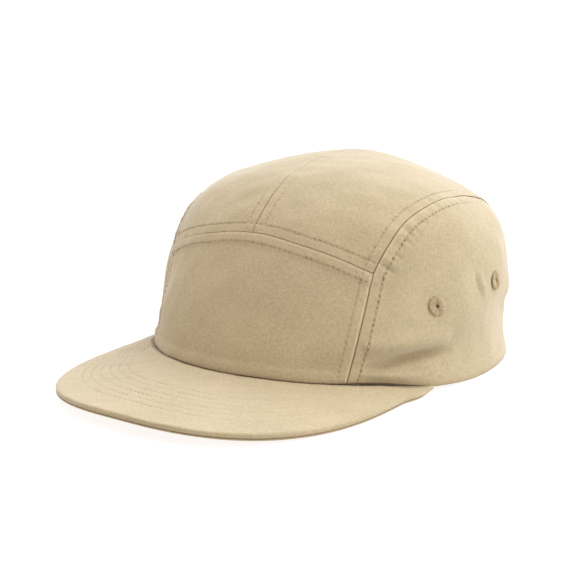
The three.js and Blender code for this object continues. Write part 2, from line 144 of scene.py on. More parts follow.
# Over the top of the crown some sewing sinks into the cloth: between which lengths along the line
# that starts, between which it ends, and how much of the seam's painted shade line is left
CHANGES = {"side": (55, 100, 130, 160, 1.0), "centre": (14, 45, 80, 110, 0.3)}
# Puckers of the side panels, most of them just above where three seams meet: angle, row, depth and
# half the length in mm. Negative depths stand out.
PUCKERS = [
    (52.6, 3.26, 1.1, 3.6), (55.9, 3.61, 0.7, 2.7), (59.4, 4.03, 0.8, 3.0), (63.6, 4.32, 0.55, 2.4),
    (67.8, 4.58, 0.4, 2.4), (54.3, 3.45, 0.25, 2.2), (57.6, 3.84, 0.35, 2.0), (61.4, 4.16, 0.25, 2.0),
    (51.0, 3.02, -0.35, 2.6), (54.0, 3.39, -0.25, 2.2), (-53.0, 3.3, 0.7, 3.0), (-57.5, 3.82, 0.6, 2.6),
]
PUCKER_WIDTH = 1.0
# Sharper creases of the left side panel: places, half width and depth in mm, and how dark the painted shade
# along them is
CREASES = [
    ([(44.5, 0.56), (52.4, 0.72), (59.4, 0.88), (67.5, 0.98), (76.5, 1.0)], 2.0, 1.9, 0.44),
    ([(44.0, 1.18), (52.6, 1.27), (63.9, 1.38), (75.1, 1.4)], 4.0, -2.7, 0),
    ([(45.5, 0.31), (52.5, 0.31), (60.5, 0.25)], 2.6, -0.7, 0),
    ([(61.0, 0.62), (65.5, 0.66), (70.5, 0.7)], 2.4, -0.6, 0),
    ([(68.5, 0.5), (70.5, 0.5), (73.5, 0.52)], 2.0, 0.4, 0),
    ([(86.2, 3.02), (87.8, 2.62), (90.6, 2.2)], 1.0, 0.5, 0.06),
    ([(88.4, 3.0), (90.2, 2.6), (92.4, 2.3)], 1.9, -0.8, 0),
]


# Helpers for numbers and points
def smooth_step(value, low, high):
    t = np.clip((value - low) / (high - low), 0, 1)
    return t * t * (3 - 2 * t)


def bell(distance, width):
    return np.exp(-((distance / width) ** 2))


def unit(vectors):
    return vectors / np.maximum(np.linalg.norm(vectors, axis=-1, keepdims=True), 1e-12)


def line_lengths(points):
    return np.concatenate([[0], np.cumsum(np.linalg.norm(np.diff(points, axis=0), axis=1))])


# Points of a line at some places, where known gives the places of its own points
def read_line(points, known, places):
    return np.stack([np.interp(places, known, column) for column in points.T], -1)


# Random but repeatable ups and downs of about 1, with wave lengths between two sizes
def waves(values, shortest, longest, seed, count=14):
    random = np.random.default_rng(seed)
    values = values.reshape(len(values), -1)
    directions = unit(random.normal(size=(count, values.shape[1])))
    turns = 2 * math.pi / random.uniform(shortest, longest, count)
    phases = random.uniform(0, 2 * math.pi, count)
    return np.cos(values @ (directions * turns[:, None]).T + phases).sum(1) * math.sqrt(2 / count)


# Smooth lines through the tables
def spline_through(values):
    last = len(values) - 1
    bend = np.zeros_like(values)
    weight = np.zeros(last + 1)
    for i in range(1, last):
        turn = values[i - 1] - 2 * values[i] + values[i + 1]
        weight[i] = 1 / (4 - weight[i - 1])
        bend[i] = (6 * turn - bend[i - 1]) * weight[i]
    for i in range(last - 1, 0, -1):
        bend[i] -= weight[i] * bend[i + 1]

    def at(places):
        i = np.clip(np.floor(places).astype(int), 0, last - 1)
        f = (places - i)[:, None]
        g = 1 - f
        bow = (g**3 - g) * bend[i] + (f**3 - f) * bend[i + 1]
        return g * values[i] + f * values[i + 1] + bow / 6

    return at


# Each row table runs on past the highest point and down the far side.
height_at = spline_through(np.vstack([ROWS[:, :1], ROWS[-2::-1, :1]]))
reach_rows = ROWS[:, 1:] * COLUMN_REACH
reach_at = spline_through(np.vstack([reach_rows, -reach_rows[-2::-1]]))


def column_weights():
    last = len(COLUMN_REACH) - 1
    half = np.ones(last + 1)
    half[[0, last]] = 0.5
    j, k = np.meshgrid(np.arange(last + 1), np.arange(last + 1), indexing="ij")
    return 2 / last * np.outer(half, half) * np.cos(k * j * math.pi / last)


COLUMN_WEIGHTS = column_weights()


def blend_columns(values, angle):
    waves_round = np.cos(np.outer(angle, np.arange(len(COLUMN_REACH))))
    return (values * (waves_round @ COLUMN_WEIGHTS.T)).sum(1)


def fold_depth(angle, row):
    degrees = np.degrees(angle)
    depth = np.zeros_like(row)
    for middle, fold_row, spread, spread_row, climb, share in FOLDS:
        across = degrees - middle
        up = row - fold_row - climb * across
        fade = (across / spread) ** 2 + (up / spread_row) ** 2
        depth += share * RIM_HALF_WIDTH * np.exp(-fade)
    return depth


# The peak's plan and bend
PEAK_DEPTH = COLUMN_REACH[0] + PEAK_LENGTH - PEAK_WIDEST  # forward of its widest place


def rim_plan(angle, extra=0.0):
    reach = blend_columns(COLUMN_REACH, angle) + extra
    return np.stack([reach * np.sin(angle), -reach * np.cos(angle)], -1)


def peak_outline(shares):
    along = np.abs(shares)
    side = np.where(shares < 0, -1, 1)
    turn = np.clip(1 - along / CORNER_SHARE, 0, 1) * math.pi / 2
    front = np.stack([
        PEAK_HALF_WIDTH * np.cos(turn) ** PEAK_POWER,
        -PEAK_WIDEST - PEAK_DEPTH * np.sin(turn) ** PEAK_POWER,
    ], -1)
    end = rim_plan(np.radians([PEAK_END_ANGLE]), PEAK_SEAT + PEAK_END_WIDTH)[0]
    corner = np.array([PEAK_HALF_WIDTH, -PEAK_WIDEST])
    pull = np.array([PEAK_HALF_WIDTH, -PEAK_WIDEST + 0.45 * (end[1] + PEAK_WIDEST)])
    t = np.clip((along - CORNER_SHARE) / (1 - CORNER_SHARE), 0, 1)[:, None]
    back = (1 - t) ** 2 * corner + 2 * t * (1 - t) * pull + t * t * end
    plan = np.where((along <= CORNER_SHARE)[:, None], front, back)
    return plan * np.stack([side, np.ones_like(side)], -1)


def board_bend(plan):
    pitch = PEAK_DIP / PEAK_LENGTH
    across = plan[..., 0] / PEAK_HALF_WIDTH
    return pitch * (plan[..., 1] + COLUMN_REACH[0]) - PEAK_DROP * across**2


FRONT_RISE = PEAK_THICKNESS - board_bend(peak_outline(np.linspace(-1, 1, 45))).min()
RIM_HEIGHTS = COLUMN_RISE * FRONT_RISE


# The crown's outer face over a disc whose edge is the rim and whose middle is the highest point
def crown_points(plan):
    angle = np.arctan2(plan[:, 0], -plan[:, 1])
    row = TOP_ROW * (1 - np.hypot(plan[:, 0], plan[:, 1]))
    height = height_at(row)[:, 0]
    reach = blend_columns(reach_at(row), angle) - fold_depth(angle, row)
    rim = blend_columns(RIM_HEIGHTS, angle)
    return np.stack([
        reach * np.sin(angle),
        -reach * np.cos(angle) + CROWN_LEAN * height**2,
        rim + (CROWN_HEIGHT - rim) * height,
    ], -1)


def crown_slopes(plan, step=1e-3):
    x, y = np.array([step, 0]), np.array([0, step])
    across = (crown_points(plan + x) - crown_points(plan - x)) / (2 * step)
    up = (crown_points(plan + y) - crown_points(plan - y)) / (2 * step)
    return across, up


def crown_normals(plan):
    return unit(np.cross(*crown_slopes(plan)))


# Places on the disc whose points lie some way along the crown from those of plan
def moved_along_crown(plan, moves):
    target = crown_points(plan) + moves
    place = plan.copy()
    for _ in range(3):
        across, up = crown_slopes(place)
        short = target - crown_points(place)
        aa, ab, bb = (across**2).sum(1), (across * up).sum(1), (up**2).sum(1)
        sa, sb = (short * across).sum(1), (short * up).sum(1)
        spare = aa * bb - ab**2
        place += np.stack([(sa * bb - sb * ab) / spare, (sb * aa - sa * ab) / spare], -1)
    return place


def plan_at(degrees, row):
    angle = np.radians(degrees)
    reach = 1 - np.asarray(row, float) / TOP_ROW
    return np.stack([reach * np.sin(angle), -reach * np.cos(angle)], -1)


def row_at_height(height):
    rows = np.linspace(0, TOP_ROW, 4001)
    return np.interp(height, height_at(rows)[:, 0] * CROWN_HEIGHT, rows)


# Lines on the disc, each as evenly spaced places
LINE_STEPS = 500


def spaced(points, steps=LINE_STEPS):
    lengths = line_lengths(points)
    return read_line(points, lengths, np.linspace(0, lengths[-1], steps + 1))


def along_spline(places):
    ends = np.vstack([places[:1], places, places[-1:]])
    t = np.linspace(0, 1, 60)[:, None]
    runs = []
    for a, b, c, d in zip(ends, ends[1:], ends[2:], ends[3:]):
        v, w = (c - a) / 2, (d - b) / 2
        runs.append((2 * b - 2 * c + v + w) * t**3 + (3 * c - 3 * b - 2 * v - w) * t**2 + v * t + b)
    return spaced(np.vstack(runs))


def places_of(rows):
    return np.array([plan_at(*row) for row in rows])


opening_half_angle = math.degrees(math.asin(OPENING_WIDTH / 2 / COLUMN_REACH[-1]))
opening_top_row = row_at_height(OPENING_HEIGHT)


def opening_edge(share):
    turn = np.asarray(share, float) * math.pi / 2
    return plan_at(180 - opening_half_angle * np.cos(turn), opening_top_row * np.sin(turn))


def opening_line(start, end):
    return opening_edge(np.linspace(start, end, LINE_STEPS + 1))


def rim_line(start, end):
    return plan_at(np.linspace(start, end, LINE_STEPS + 1), 0)


MIRROR = np.array([-1.0, 1.0])
front_seam = along_spline(places_of(FRONT_SEAM))
arch_seam = along_spline(places_of(ARCH_SEAM))
side_seam = along_spline(np.vstack([places_of(SIDE_SEAM), opening_edge(SEAM_END)]))
centre_seam = spaced(np.stack([arch_seam[0], opening_edge(1)]))
front_rim = rim_line(-FRONT_SEAM[0][0], FRONT_SEAM[0][0])
side_rim = rim_line(FRONT_SEAM[0][0], 180 - opening_half_angle)


class Line:
    def __init__(self, points):
        self.points = points
        self.steps = np.diff(points, axis=0)
        self.along = line_lengths(points)

    # How far points are from the line, how far along it that is, and how far they are past its ends
    def nearest(self, points):
        parts = [self.nearest_to_few(points[start:start + 4000]) for start in range(0, len(points), 4000)]
        return [np.concatenate(part) for part in zip(*parts)]

    def nearest_to_few(self, points):
        closest = ((self.points**2).sum(1) - 2 * points @ self.points.T).argmin(1)
        best = np.full((3, len(points)), np.inf)
        last = len(self.steps) - 1
        for k in (closest - 1, closest):
            k = np.clip(k, 0, last)
            step = self.steps[k]
            length = self.along[k + 1] - self.along[k]
            t = ((points - self.points[k]) * step).sum(1) / (step**2).sum(1)
            past = np.where(k == 0, -t, 0) + np.where(k == last, np.maximum(t - 1, 0), 0)
            t = np.clip(t, 0, 1)
            distance = np.linalg.norm(points - self.points[k] - t[:, None] * step, axis=1)
            found = np.stack([distance, self.along[k] + t * length, np.maximum(past, 0) * length])
            best = np.where(distance < best[0], found, best)
        return best


# A line that cloth ends on: a seam, the hem of the opening or the rim
class Edge(Line):
    def __init__(self, name, plan, seed):
        super().__init__(crown_points(plan))
        self.family = name.split("_")[0]
        self.kind = self.family if self.family in ("hem", "rim") else "seam"
        self.plan = plan
        self.seed = seed


def make_edges():
    plans = [("centre", centre_seam, 31), ("rim_front", front_rim, 32)]
    for side_name, side in SIDES:
        seed = 10 if side > 0 else 20
        lines = [("arch", arch_seam), ("front", front_seam), ("side", side_seam),
                 ("hem_low", opening_line(0, SEAM_END)), ("hem_high", opening_line(SEAM_END, 1)),
                 ("rim", side_rim)]
        for i, (name, line) in enumerate(lines):
            plans.append((name + "_" + side_name, line * [side, 1.0], seed + 1 + i))
    return {name: Edge(name, plan, seed) for name, plan, seed in plans}


EDGES = make_edges()
CREASES = [(Line(crown_points(along_spline(places_of(places)))), *size) for places, *size in CREASES]


# How far some sewing has sunk into the cloth, and how much of the seam's line and its painted shade is left
# there
def change_along(edge, lengths):
    if edge.family not in CHANGES:
        return np.zeros(len(lengths)), 1.0
    start, end, back_start, back_end, left = CHANGES[edge.family]
    return smooth_step(lengths, start, end) * (1 - smooth_step(lengths, back_start, back_end)), left


# How much of a row of stitches shows, from 1 down to 0
def row_left(panel, edge, lengths):
    holes = SEWING[panel.family, edge.family][1]
    changed, _ = change_along(edge, lengths)
    return 1 - changed * (1 - holes[1] / holes[0])


# One panel of the crown, between four lines on the disc
class Panel:
    def __init__(self, name, side, lines, edges, rims=()):
        self.name = name
        self.family = name.split("_")[0]
        self.side = side
        self.lines = lines
        self.edges = [EDGES[edge] for edge in edges]
        self.rims = [EDGES[rim] for rim in rims]

    def middle(self):
        return crown_points(self.places(np.array([0.5]), np.array([0.5])))[0]

    def places(self, a, b):
        shares = np.linspace(0, 1, LINE_STEPS + 1)
        bottom, top = (read_line(self.lines[line], shares, a) for line in ("bottom", "top"))
        left, right = (read_line(self.lines[line], shares, b) for line in ("left", "right"))
        a, b = a[:, None, None], b[None, :, None]
        ruled = bottom[:, None] * (1 - b) + top[:, None] * b + left[None] * (1 - a) + right[None] * a
        low = bottom[0] * (1 - a) + bottom[-1] * a
        high = top[0] * (1 - a) + top[-1] * a
        plan = ruled - (low * (1 - b) + high * b)
        return (plan * np.array([self.side, 1.0])).reshape(-1, 2)

    # What the sewing does to the cloth: how far it stands out, and facts for the material: painted shade,
    # painted highlight and needle holes
    def sewn(self, points):
        drop, raised, groove, pucker, painted_shade, wear_and_highlight, along, dark = np.zeros((8, len(points)))
        beside = np.full(len(points), FAR)
        for edge in self.edges + self.rims:
            distance, s, beyond = edge.nearest(points)
            radius = SHOULDER[edge.kind]
            inside = np.clip(radius - distance, 0, radius)
            changed, left = change_along(edge, s)
            seam_left = 1 - changed * (1 - left)
            drop = np.maximum(drop, seam_left * (radius - np.sqrt(radius**2 - inside**2)))
            # Painted shade along the line where two panels meet
            painted_shade = np.maximum(painted_shade, seam_left * bell(distance, SEAM_LINE))
            if edge.kind == "rim":
                # Painted shade on the cloth just above the rim
                painted_shade = np.maximum(painted_shade, RIM_SHADE * bell(distance, RIM_SHADE_WIDTH))
                raised = np.maximum(raised, RIM_STANDS * (1 - smooth_step(distance, *RIM_FOLD_END)))
                continue
            offset = OFFSET[edge.kind]
            stands, holes, pulls, puckers, highlight = SEWING[self.family, edge.family]
            stands = stands[0] + (stands[1] - stands[0]) * changed
            hole = holes[0] * row_left(self, edge, s)
            beside_line = beyond < LINE_END
            in_row = bell(distance - offset, ROW_WIDTH) * beside_line
            raised = np.maximum(raised, stands * (1 - smooth_step(distance, offset - 0.5, offset + 2.5)))
            groove = np.maximum(groove, pulls * in_row * hole / holes[0])
            # Painted highlight on the turned edge beside the seam
            wear_and_highlight = np.maximum(wear_and_highlight, highlight * bell(distance - HIGHLIGHT_STRIP[0], HIGHLIGHT_STRIP[1]))
            ripple = waves(s, 5, 12, edge.seed)
            pucker += puckers * ripple * bell(distance - PUCKER_STRIP[0], PUCKER_STRIP[1])
            nearer = (np.abs(distance - offset) < np.abs(beside)) & beside_line
            beside[nearer] = (distance - offset)[nearer]
            along[nearer] = s[nearer]
            # Painted shade in the needle holes, uneven along the row
            uneven = np.clip(1 + 0.3 * waves(s, 4, 15, edge.seed + 50), 0.4, 1.7)
            dark[nearer] = (hole * uneven)[nearer]
        if self.family == "side":
            seam = self.edges[1].points
            for degrees, row, depth, length in PUCKERS:
                if degrees * self.side < 0:
                    continue
                centre = crown_points(plan_at(degrees, row)[None])[0]
                closest = np.linalg.norm(seam - centre, axis=1).argmin()
                way = unit(seam[min(closest + 2, len(seam) - 1)] - seam[closest - 2])
                down_seam = (points - centre) @ way
                away = np.linalg.norm(points - centre - down_seam[:, None] * way, axis=1)
                pucker -= depth * np.exp(-((down_seam / PUCKER_WIDTH) ** 2 + (away / length) ** 2))
        if self.name == "side_panel_left":
            for line, width, depth, shade in CREASES:
                distance, s, _ = line.nearest(points)
                taper = np.sin(np.pi * np.clip(s / line.along[-1], 0, 1)) ** 0.6
                dented = taper * bell(distance, width)
                pucker -= depth * dented
                # Painted shade along the crease
                painted_shade = np.maximum(painted_shade, shade * dented)
        lift = raised - drop - groove + pucker
        return lift, np.stack([painted_shade, wear_and_highlight, groove], -1), np.stack([along, beside, dark], -1)

    # Cloth normals, turned level at the rim
    def normals(self, plan, points):
        normals = crown_normals(plan)
        for rim in self.rims:
            normals[:, 2] *= smooth_step(rim.nearest(points)[0], 0, 5)
        return unit(normals)


def make_panels():
    front_lines = {
        "bottom": front_rim, "top": spaced(np.vstack([(arch_seam * MIRROR)[::-1], arch_seam[1:]])),
        "left": front_seam * MIRROR, "right": front_seam,
    }
    top_lines = {
        "bottom": arch_seam, "top": opening_line(1, SEAM_END), "left": centre_seam, "right": side_seam,
    }
    side_lines = {
        "bottom": side_rim, "top": side_seam, "left": front_seam, "right": opening_line(0, SEAM_END),
    }
    front_edges = ["arch_left", "arch_right", "front_left", "front_right"]
    panels = [Panel("front_panel", 1, front_lines, front_edges, ["rim_front"])]
    for name, side in SIDES:
        edges = ["arch_" + name, "centre", "side_" + name, "hem_high_" + name]
        panels.append(Panel("top_panel_" + name, side, top_lines, edges))
        edges = ["front_" + name, "side_" + name, "hem_low_" + name]
        panels.append(Panel("side_panel_" + name, side, side_lines, edges, ["rim_" + name]))
    return panels


PANELS = make_panels()

# The rim turns in where the side panel leaves the front one. It stands clear of the peak, most where
# the front and side panels meet, and the left side hangs lower where it leaves the peak. The angles
# in rim_moves are in degrees from the front, and the distances from the rim in millimetres.
RIM_TURN = 1.3
RIM_CLEAR = 1.3
RIM_HANG = 1.1


def rim_moves(plan, points, panel):
    degrees = np.degrees(np.arctan2(plan[:, 0], -plan[:, 1]))
    both = np.abs(degrees)
    distance = panel.rims[0].nearest(points)[0]
    turned = RIM_TURN * (smooth_step(both, 36, 46) * (1 - smooth_step(both, 56, 68)))
    clear = (RIM_CLEAR + 0.3 * smooth_step(both, 28, 40)) * (1 - smooth_step(both, 50, 62))
    clear -= RIM_HANG * smooth_step(degrees, 60, 68) * (1 - smooth_step(degrees, 84, 110))
    return turned * (1 - smooth_step(distance, 0, 6)), clear * (1 - smooth_step(distance, 0, 9))


def soft_lift(points):
    lift = 0.25 * waves(points, 26, 48, 41) + 0.07 * waves(points, 9, 18, 42)
    for degrees, row, radius, height in SHAPING:
        centre = crown_points(plan_at(degrees, row)[None])
        lift += height * np.exp(-((points - centre) ** 2).sum(1) / radius**2)
    return lift


# Materials
def fill(tree, socket, value):
    if isinstance(value, bpy.types.NodeSocket):
        tree.links.new(value, socket)
    else:
        socket.default_value = value


def add_node(tree, kind, inputs=None, **settings):
    node = tree.nodes.new(kind)
    for name, value in settings.items():
        setattr(node, name, value)
    for name, value in (inputs or {}).items():
        fill(tree, node.inputs[name], value)
    return node


class Recipe:
    def __init__(self, name):
        self.material = bpy.data.materials.new(name)
        self.material.use_nodes = True
        self.tree = self.material.node_tree
        self.shader = self.tree.nodes["Principled BSDF"]

    def add(self, kind, inputs=None, **settings):
        return add_node(self.tree, kind, inputs, **settings)

    def maths(self, operation, *values):
        return self.add("ShaderNodeMath", dict(enumerate(values)), operation=operation).outputs[0]

    # The sum of values, each times its share
    def mixture(self, *terms):
        total = None
        for value, share in terms:
            part = self.maths("MULTIPLY", value, share)
            total = part if total is None else self.maths("ADD", total, part)
        return total

    def attribute(self, name):
        return self.add("ShaderNodeAttribute", attribute_name=name).outputs["Vector"]

    def parts(self, vector):
        return self.add("ShaderNodeSeparateXYZ", {"Vector": vector}).outputs

    def mapped(self, vector, scale=(1, 1, 1), turn=0.0):
        inputs = {"Vector": vector, "Scale": scale, "Rotation": (0, 0, turn)}
        return self.add("ShaderNodeMapping", inputs).outputs["Vector"]

    def noise(self, vector, scale, detail=3.0, roughness=0.5):
        inputs = {"Vector": vector, "Scale": scale, "Detail": detail, "Roughness": roughness}
        return self.add("ShaderNodeTexNoise", inputs).outputs["Fac"]

    def ranged(self, value, low, high, to_low, to_high):
        inputs = {"Value": value, "From Min": low, "From Max": high, "To Min": to_low, "To Max": to_high}
        return self.add("ShaderNodeMapRange", inputs).outputs["Result"]

    def mixed(self, factor, first, second):
        return self.add("ShaderNodeMix", {0: factor, 6: first, 7: second}, data_type="RGBA").outputs[2]

    def bump(self, height, distance, strength):
        inputs = {"Height": height, "Distance": distance, "Strength": strength}
        return self.add("ShaderNodeBump", inputs).outputs["Normal"]

    def set(self, **values):
        for name, value in values.items():
            fill(self.tree, self.shader.inputs[name.replace("_", " ")], value)
        return self.material


TWILL_LIGHT = (0.505, 0.412, 0.266, 1)
TWILL_DARK = (0.335, 0.271, 0.160, 1)
# Colours of painted shade, and of painted highlight and wear
TWILL_PAINTED_SHADE = (0.200, 0.128, 0.058, 1)
TWILL_WEAR_AND_HIGHLIGHT = (0.620, 0.520, 0.350, 1)
TWILL_PITCH = 0.65
TWILL_ANGLE = math.radians(62)
HOLE_LENGTH = 1.5  # a needle hole is this many times as long, along its row, as it is wide
WAVE_PERIOD = math.pi / 10  # of a wave texture at scale 1


def twill_material(name):
    recipe = Recipe(name)
    grain = recipe.attribute("grain")
    painted_shade, wear_and_highlight, groove = recipe.parts(recipe.attribute("cloth"))
    along, beside, holes = recipe.parts(recipe.attribute("sew"))
    ribs = recipe.add("ShaderNodeTexWave", {
        "Vector": recipe.mapped(grain, turn=TWILL_ANGLE),
        "Scale": WAVE_PERIOD / TWILL_PITCH, "Distortion": 0.5, "Detail": 1.0, "Detail Scale": 2.0,
    }).outputs["Fac"]
    warp = recipe.noise(recipe.mapped(grain, scale=(1.5, 0.3, 1)), 1.0, 3, 0.6)
    weft = recipe.noise(recipe.mapped(grain, scale=(0.3, 1.5, 1)), 1.0, 3, 0.6)
    yarn = recipe.mixture((warp, 0.5), (weft, 0.5))
    fleck = recipe.noise(grain, 0.8, 2, 0.7)
    patch = recipe.noise(grain, 0.035, 3, 0.5)
    tone = recipe.mixture((yarn, 0.8), (fleck, 0.4), (patch, 0.25), (ribs, 0.05))
    colour = recipe.mixed(recipe.ranged(tone, 0.55, 0.95, 0, 1), TWILL_DARK, TWILL_LIGHT)
    # Lighter strips: painted highlight beside the seams, and along the strap's edges
    wear_and_highlight = recipe.maths("MULTIPLY", wear_and_highlight, recipe.ranged(fleck, 0.3, 0.6, 0.5, 0.9))
    colour = recipe.mixed(wear_and_highlight, colour, TWILL_WEAR_AND_HIGHLIGHT)
    # Needle holes, one between each stitch and the next, darkened with painted shade
    turn = recipe.maths("DIVIDE", recipe.maths("PINGPONG", along, STITCH_PITCH / 2), HOLE_LENGTH)
    squares = recipe.maths("ADD", recipe.maths("POWER", turn, 2.0), recipe.maths("POWER", beside, 2.0))
    off = recipe.maths("POWER", squares, 0.5)
    hole = recipe.maths("MULTIPLY", recipe.ranged(off, 0.2, 0.72, 1, 0), holes)
    # Painted shade in the seam lines, creases, needle holes and stitch furrows
    dark = recipe.maths("MULTIPLY", painted_shade, 0.9)
    for shade, share in ((hole, 0.55), (groove, 0.4)):
        dark = recipe.maths("MAXIMUM", dark, recipe.maths("MULTIPLY", shade, share))
    height = recipe.mixture((ribs, 0.12), (yarn, 1.4), (hole, -1.6), (fleck, 1.0))
    return recipe.set(
        Base_Color=recipe.mixed(dark, colour, TWILL_PAINTED_SHADE),
        Roughness=recipe.ranged(yarn, 0.3, 0.7, 0.82, 0.96),
        Normal=recipe.bump(height, 0.00016, 0.8),
        Sheen_Weight=0.4,
        Sheen_Roughness=0.45,
        Sheen_Tint=(1.0, 0.96, 0.88, 1),
        Specular_IOR_Level=0.2,
    )


THREAD_LIGHT = (0.510, 0.413, 0.258, 1)
THREAD_DARK = (0.285, 0.210, 0.112, 1)
THREAD_PITCH = 0.42


def thread_material(name):
    recipe = Recipe(name)
    strand = recipe.attribute("grain")
    twist = recipe.add("ShaderNodeTexWave", {
        "Vector": strand, "Scale": WAVE_PERIOD / THREAD_PITCH, "Distortion": 0.8, "Detail": 2.0,
    }, bands_direction="DIAGONAL").outputs["Fac"]
    fuzz = recipe.noise(strand, 3.5, 3, 0.6)
    tone = recipe.mixture((twist, 0.6), (fuzz, 0.5))
    return recipe.set(
        Base_Color=recipe.mixed(tone, THREAD_DARK, THREAD_LIGHT),
        Roughness=recipe.ranged(fuzz, 0.3, 0.7, 0.55, 0.8),
        Normal=recipe.bump(tone, 0.0001, 0.7),
        Sheen_Weight=0.15,
        Specular_IOR_Level=0.35,
    )


BRASS_LIGHT = (0.520, 0.410, 0.240, 1)
BRASS_DARK = (0.330, 0.250, 0.135, 1)


def brass_material(name):
    recipe = Recipe(name)
    place = recipe.attribute("grain")
    patina = recipe.noise(place, 0.35, 5, 0.6)
    brushed = recipe.noise(recipe.mapped(place, scale=(0.15, 4, 1)), 2.5, 3, 0.6)
    wear_and_highlight = recipe.parts(recipe.attribute("cloth"))[1]
    tone = recipe.maths("ADD", recipe.ranged(patina, 0.35, 0.7, 0, 0.8), recipe.maths("MULTIPLY", wear_and_highlight, 0.6))
    return recipe.set(
        Base_Color=recipe.mixed(tone, BRASS_DARK, BRASS_LIGHT),
        Metallic=1.0,
        Roughness=recipe.ranged(brushed, 0.3, 0.7, 0.34, 0.44),
        Normal=recipe.bump(brushed, 0.00001, 0.3),
    )


MATERIALS = {
    "twill": twill_material("khaki_twill"),
    "thread": thread_material("matching_thread"),
    "clasp_metal": brass_material("antique_brass"),
}
CAP_SHIFT = np.array([0, (COLUMN_REACH[0] + PEAK_LENGTH - COLUMN_REACH[-1]) / 2, 0])
FLOOR_CLEARANCE = 0.02


# Makes a closed piece of four sided faces, from points in millimetres round the crown's middle
def add_piece(name, points, quads, slot, attributes, replaces=()):
    corners = points[quads]
    faces = np.cross(corners[:, 2] - corners[:, 0], corners[:, 3] - corners[:, 1])
    if (faces * corners.mean(1)).sum() < 0:
        quads = quads[:, ::-1]
    mesh = bpy.data.meshes.new(name)
    mesh.from_pydata(((points + CAP_SHIFT) / 1000).tolist(), [], quads.tolist())
    for attribute, values in attributes.items():
        layer = mesh.attributes.new(attribute, "FLOAT_VECTOR", "POINT")
        layer.data.foreach_set("vector", np.ascontiguousarray(values, np.float32).ravel())
    mesh.polygons.foreach_set("use_smooth", np.ones(len(quads), bool))
    mesh.materials.append(MATERIALS[slot])
    piece = bpy.data.objects.new(name, mesh)
    bpy.context.scene.collection.objects.link(piece)
    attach(piece, "root")
    if replaces:
        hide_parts(*replaces)


# Faces of a shell between two grids of the same size. Cells where hole is true are left out.
def shell_quads(across, up, hole):
    i, j = np.meshgrid(np.arange(across - 1), np.arange(up - 1), indexing="ij")
    first = i * up + j
    cells = np.stack([first, first + up, first + up + 1, first + 1], -1)
    kept = ~hole
    layer = across * up
    outer = cells[kept]
    walls = []
    padded = np.pad(kept, 1)
    for corner, (di, dj) in enumerate(((0, -1), (1, 0), (0, 1), (-1, 0))):
        beside = padded[1 + di:1 + di + kept.shape[0], 1 + dj:1 + dj + kept.shape[1]]
        open_cells = cells[kept & ~beside]
        p, q = open_cells[:, corner], open_cells[:, (corner + 1) % 4]
        walls.append(np.stack([p + layer, q + layer, q, p], -1))
    return np.vstack([outer, outer[:, ::-1] + layer, *walls])


# Faces of a tube round rings of points. Without faces for its ends, the last ring joins the first.
def tube_quads(rings, count, end=None):
    p = np.arange(rings * count).reshape(rings, count)
    q = np.roll(p, -1, axis=1)
    if end is None:
        return np.stack([p, np.roll(p, -1, axis=0), np.roll(q, -1, axis=0), q], -1).reshape(-1, 4)
    sides = np.stack([p[:-1], q[:-1], q[1:], p[1:]], -1).reshape(-1, 4)
    return np.vstack([sides, end, end[:, ::-1] + (rings - 1) * count])


# Faces across the end of a tube, between pairs of points: the first pair is start and the one before
def end_quads(count, start=0):
    k = np.arange(count // 2 - 1)
    return np.stack([start + k, start - 1 - k, start - 2 - k, start + k + 1], -1) % count


# Panels
MIDDLE_STEP = 0.8  # between points in the middle of a panel, and closer towards its edges
EDGE_STEPS = ((0, 0.5, 1.5, 8, 12), (0.12, 0.25, 0.42, 0.5, MIDDLE_STEP))  # from the edge, step there
EYELET_CUT = 2.7  # the cloth is cut back this far from an eyelet's middle


def graded_shares(length):
    x = np.linspace(0, length, 4000)
    step = np.interp(np.minimum(x, length - x), *EDGE_STEPS)
    count = np.concatenate([[0], np.cumsum(np.diff(x) / step[1:])])
    return np.interp(np.linspace(0, count[-1], math.ceil(count[-1]) + 1), count, x) / length


# Lengths in the cloth, which the weave follows: across each row and up each column
def grain_of(points, across, up):
    grid = points.reshape(across, up, 3)
    rows = np.linalg.norm(np.diff(grid, axis=0), axis=2)
    columns = np.linalg.norm(np.diff(grid, axis=1), axis=2)
    u = np.vstack([np.zeros((1, up)), np.cumsum(rows, axis=0)])
    v = np.hstack([np.zeros((across, 1)), np.cumsum(columns, axis=1)])
    u -= u[across // 2]
    v -= v[:, up // 2, None]
    return np.stack([u.ravel(), v.ravel(), np.zeros(across * up)], -1)


def eyelet_places(side):
    return [(name, plan_at(side * degrees, row)[None]) for name, degrees, row in EYELETS]


# The cloth dips a little round each eyelet.
def eyelet_pull(points, side):
    lift = np.zeros(len(points))
    for _, place in eyelet_places(side):
        far = np.linalg.norm(points - crown_points(place)[0], axis=1)
        lift -= 0.3 * bell(far - 4.9, 1.5)
    return lift


def cloth_points(panel, plan):
    base = crown_points(plan)
    normals = panel.normals(plan, base)
    lift, cloth, sew = panel.sewn(base)
    lift = lift + soft_lift(base)
    if panel.family == "side":
        lift = lift + eyelet_pull(base, panel.side)
    return base, normals, lift, cloth, sew


